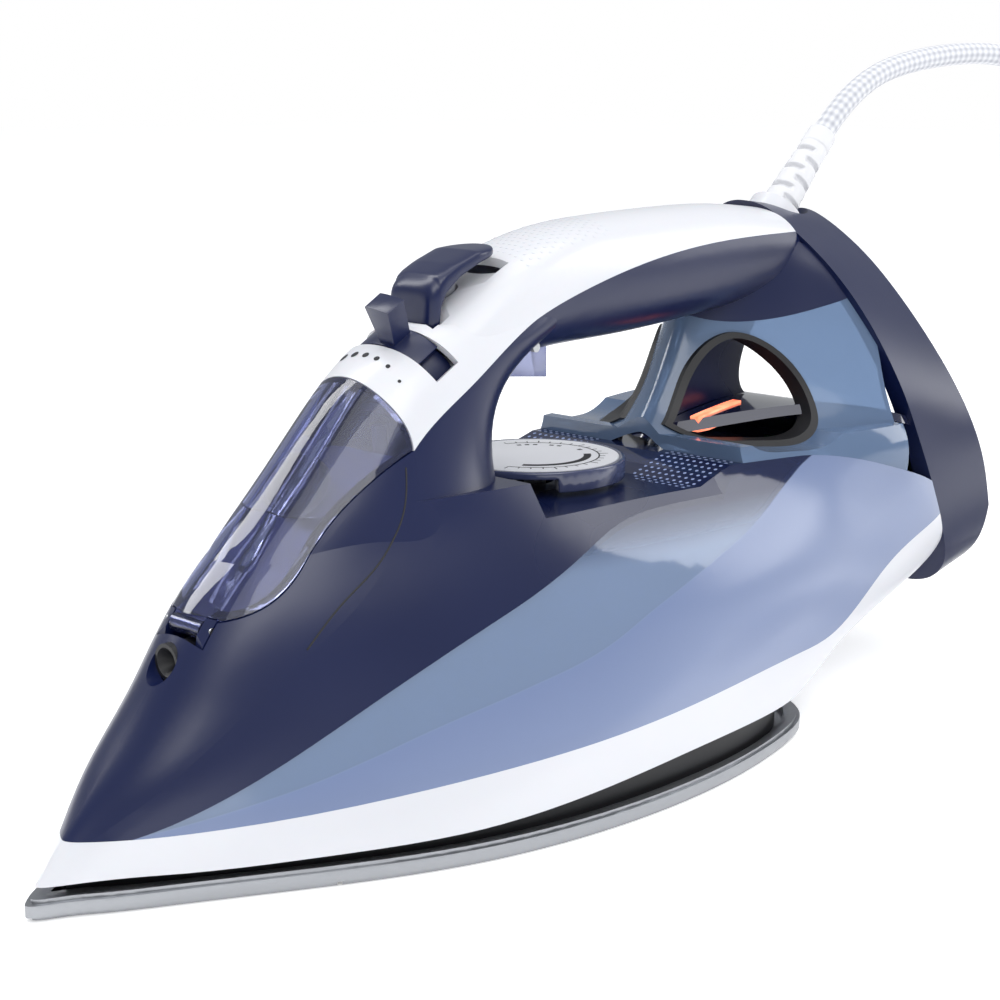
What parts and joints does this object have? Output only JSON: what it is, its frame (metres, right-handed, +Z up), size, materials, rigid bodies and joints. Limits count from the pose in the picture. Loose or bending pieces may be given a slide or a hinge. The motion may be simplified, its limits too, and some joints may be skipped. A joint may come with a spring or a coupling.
{
  "type": "steam clothes iron",
  "caption": "Corded steam iron with steel soleplate, water tank, temperature dial under an open loop handle, spray button, steam slider and hinged filler cover.",
  "frame": {"origin": "middle of the iron's footprint on the surface it stands on, measured without the lead", "axes": "+X from the sole's tip towards the heel, +Z up, and -Y is the side that the picture shows"},
  "size_m": [0.4763, 0.2024, 0.1921],
  "materials": {
    "amber_lens": "clear",
    "black_plastic": "satin",
    "blue_translucent": "clear, tinted",
    "board_green": "plain",
    "braided_cover": "braided",
    "brass_pins": "plain",
    "cast_aluminium": "cast",
    "dark_blue_abs": "satin",
    "grey_plastic": "satin",
    "rubber_black": "matt",
    "screw_steel": "plain",
    "smoke_grey": "satin",
    "steel": "satin",
    "white_abs": "satin",
    "white_rubber": "matt"
  },
  "bodies": {
    "iron": {"soleplate": "steel", "heater_casting": "cast_aluminium", "heating_element": "screw_steel", "sole_screws": "screw_steel", "steam_chamber_lid": "steel", "heat_shield": "black_plastic", "skirt": "white_abs", "water_tank": "blue_translucent", "nose_shell": "dark_blue_abs", "cover_pin": "screw_steel", "slider_bracket": "grey_plastic", "trigger_pin": "screw_steel", "handle_body": "dark_blue_abs", "handle_top": "white_abs", "pump_body": "grey_plastic", "pump_spring": "screw_steel", "spray_nozzle": "black_plastic", "spray_hose": "rubber_black", "filler_tray": "dark_blue_abs", "filler_valve": "dark_blue_abs", "neck_shell": "blue_translucent", "rear_collar": "dark_blue_abs", "heel_cap": "dark_blue_abs", "heel_floor": "dark_blue_abs", "lamp_lens": "amber_lens", "rear_fin": "dark_blue_abs", "eye_rim_left": "black_plastic", "eye_rim_right": "black_plastic", "thermostat": "screw_steel", "thermal_fuse": "screw_steel", "control_board": "board_green", "terminal_block": "grey_plastic", "heel_screws": "screw_steel", "cord_bushing": "white_abs", "strain_relief": "white_rubber", "cord_lead": "braided_cover", "cord_coil": "braided_cover", "cord_tail": "braided_cover", "plug_body": "white_rubber", "plug_pins": "brass_pins"},
    "dial": {"dial_ring": "smoke_grey", "dial_disc": "grey_plastic", "dial_shaft": "grey_plastic"},
    "button": {"spray_button": "dark_blue_abs", "pump_plunger": "grey_plastic"},
    "slider": {"steam_slider": "dark_blue_abs"},
    "dosing": {"dosing_stem": "grey_plastic"},
    "trigger": {"steam_trigger": "blue_translucent"},
    "cover": {"filler_cover": "dark_blue_abs"}
  },
  "joints": [
    {"name": "dial_turn", "type": "hinge", "parent": "iron", "child": "dial", "pos_m": [0.0033, 0, 0.08], "axis": [0, 0, 1], "range_deg": [-150, 60]},
    {"name": "button_press", "type": "slide", "parent": "iron", "child": "button", "axis": [0, 0, -1], "range_m": [0, 0.0035], "stiffness_N_per_m": 500, "springref_m": -0.003, "deforming": ["pump_spring"]},
    {"name": "slider_turn", "type": "hinge", "parent": "iron", "child": "slider", "pos_m": [-0.0415, 0, 0.10348], "axis": [0.866, 0, 0.5], "range_deg": [-18, 18]},
    {"name": "dosing_lift", "type": "slide", "parent": "iron", "child": "dosing", "axis": [0, 0, 1], "range_m": [-0.002, 0.002]},
    {"name": "trigger_pull", "type": "hinge", "parent": "iron", "child": "trigger", "pos_m": [-0.0115, 0, 0.113], "axis": [0, -1, 0], "range_deg": [0, 9], "stiffness_Nm_per_rad": 0.05, "springref_deg": -5.73},
    {"name": "cover_open", "type": "hinge", "parent": "iron", "child": "cover", "pos_m": [-0.1118, 0, 0.0572], "axis": [0, -1, 0], "range_deg": [0, 40]}
  ],
  "couplings": [
    {"joint": "dosing_lift", "follows": "slider_turn", "m_per_rad": 0.005}
  ]
}
